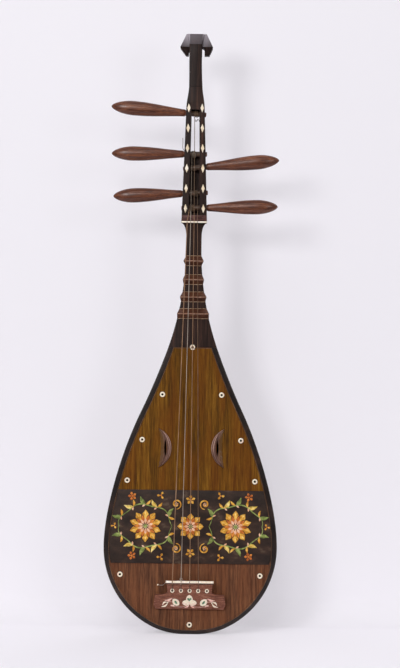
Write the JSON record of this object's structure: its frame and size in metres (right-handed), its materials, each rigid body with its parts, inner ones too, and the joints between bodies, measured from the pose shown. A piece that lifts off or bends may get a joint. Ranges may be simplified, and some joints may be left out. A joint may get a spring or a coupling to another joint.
{
  "type": "five-string pipa",
  "caption": "Straight-necked pear-shaped plucked lute with carved hollow back, wedge frets, slotted peg box, turning friction pegs, bridge and inlaid soundboard.",
  "frame": {"origin": "on the ground plane under the middle of the instrument's box, as it stands on its tail", "axes": "+Z from the tail up to the head; -Y out of the soundboard, towards the player's plectrum; +X to the right when seen from the front"},
  "size_m": [0.312, 0.1097, 1.081],
  "materials": {
    "dark_rosewood": "oiled, near black brown",
    "back_rosewood": "oiled red-brown, visible pores",
    "golden_board": "streaked golden brown, satin",
    "red_board": "reddish brown, satin",
    "edge_band": "near black, satin",
    "peg_wood": "turned and polished",
    "bridge_wood": "red-brown, satin",
    "moon_wood": "carved, satin",
    "inner_wood": "bare",
    "guard_leather": "dark, painted, matt",
    "ivory": "polished, warm white",
    "shell": "mother-of-pearl, polished",
    "silk": "twisted silk, matt"
  },
  "bodies": {
    "root": {"neck": "dark_rosewood", "peg_box": "dark_rosewood", "head_finial": "dark_rosewood", "back_bowl": "back_rosewood", "soundboard_upper": "golden_board", "soundboard_lower": "red_board", "edge_binding": "edge_band", "bridge": "bridge_wood", "nut_block": "bridge_wood", "fret_1": "bridge_wood", "fret_2": "bridge_wood", "fret_3": "bridge_wood", "fret_4": "bridge_wood", "sound_hole_left": "moon_wood", "sound_hole_right": "moon_wood", "cross_brace_1": "inner_wood", "cross_brace_2": "inner_wood", "cross_brace_3": "inner_wood", "sound_post": "inner_wood", "plectrum_guard": "guard_leather", "nut_strip": "ivory", "bridge_saddle": "ivory", "ring_1": "shell", "ring_2": "shell", "ring_3": "shell", "ring_4": "shell", "ring_5": "shell", "ring_6": "shell", "ring_7": "shell", "ring_8": "shell", "ring_9": "shell", "ring_10": "shell", "eyelet_1": "shell", "eyelet_2": "shell", "eyelet_3": "shell", "eyelet_4": "shell", "eyelet_5": "shell", "lozenge_left_1": "shell", "lozenge_left_2": "shell", "lozenge_left_3": "shell", "lozenge_left_4": "shell", "lozenge_left_5": "shell", "lozenge_left_6": "shell", "lozenge_right_1": "shell", "lozenge_right_2": "shell", "lozenge_right_3": "shell", "lozenge_right_4": "shell", "lozenge_right_5": "shell", "lozenge_right_6": "shell", "string_1": "silk", "string_2": "silk", "string_3": "silk", "string_4": "silk"},
    "peg_1": {"peg_1": "peg_wood"},
    "peg_2": {"peg_2": "peg_wood"},
    "peg_3": {"peg_3": "peg_wood"},
    "peg_4": {"peg_4": "peg_wood"},
    "peg_5": {"peg_5": "peg_wood"}
  },
  "joints": [
    {"name": "peg_1_turn", "type": "hinge", "parent": "root", "child": "peg_1", "pos_m": [0, -0.02015, 0.9367], "axis": [-0.9966, 0, 0.0819], "continuous": true},
    {"name": "peg_2_turn", "type": "hinge", "parent": "root", "child": "peg_2", "pos_m": [0, -0.02015, 0.8642], "axis": [-1, 0, 0], "continuous": true},
    {"name": "peg_3_turn", "type": "hinge", "parent": "root", "child": "peg_3", "pos_m": [0, -0.02015, 0.794], "axis": [-0.9989, 0, -0.0471], "continuous": true},
    {"name": "peg_4_turn", "type": "hinge", "parent": "root", "child": "peg_4", "pos_m": [0, -0.02015, 0.8395], "axis": [0.9949, 0, 0.1011], "continuous": true},
    {"name": "peg_5_turn", "type": "hinge", "parent": "root", "child": "peg_5", "pos_m": [0, -0.02015, 0.7673], "axis": [0.9997, 0, 0.0262], "continuous": true}
  ]
}
